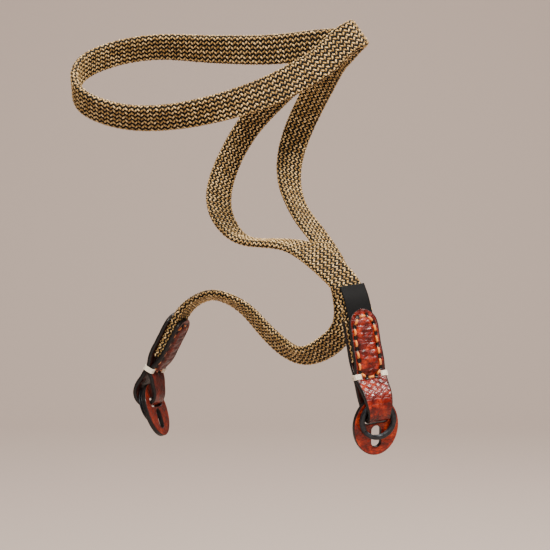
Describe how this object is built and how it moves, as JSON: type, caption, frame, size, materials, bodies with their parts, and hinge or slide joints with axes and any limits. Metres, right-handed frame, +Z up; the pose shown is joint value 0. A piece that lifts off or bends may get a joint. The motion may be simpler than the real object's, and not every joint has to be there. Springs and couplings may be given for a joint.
{
  "type": "braided camera strap",
  "caption": "Flat braided strap with leather ends, split rings and protective pads, hanging doubled in its slung form.",
  "frame": {"origin": "middle of the strap's inner fold, where the support carries it", "axes": "+Z up, +X to the right and +Y to the back when the strap is seen from its front"},
  "size_m": [0.1468, 0.1121, 0.1957],
  "materials": {
    "braid": "two-coloured twill braid, tan and black",
    "leather": "waxed, polished on the outside",
    "woven_label": "plain woven ribbon",
    "binding_thread": "waxed thread",
    "blackened_steel": "satin black"
  },
  "bodies": {
    "root": {"braided_strap": "braid", "right_leather_end": "leather", "left_leather_end": "leather", "right_label_tab": "woven_label", "right_edge_binding_a": "binding_thread", "right_edge_binding_b": "binding_thread", "left_edge_binding_a": "binding_thread", "left_edge_binding_b": "binding_thread", "right_split_ring": "blackened_steel", "left_split_ring": "blackened_steel", "right_pad": "leather", "left_pad": "leather"}
  },
  "joints": []
}
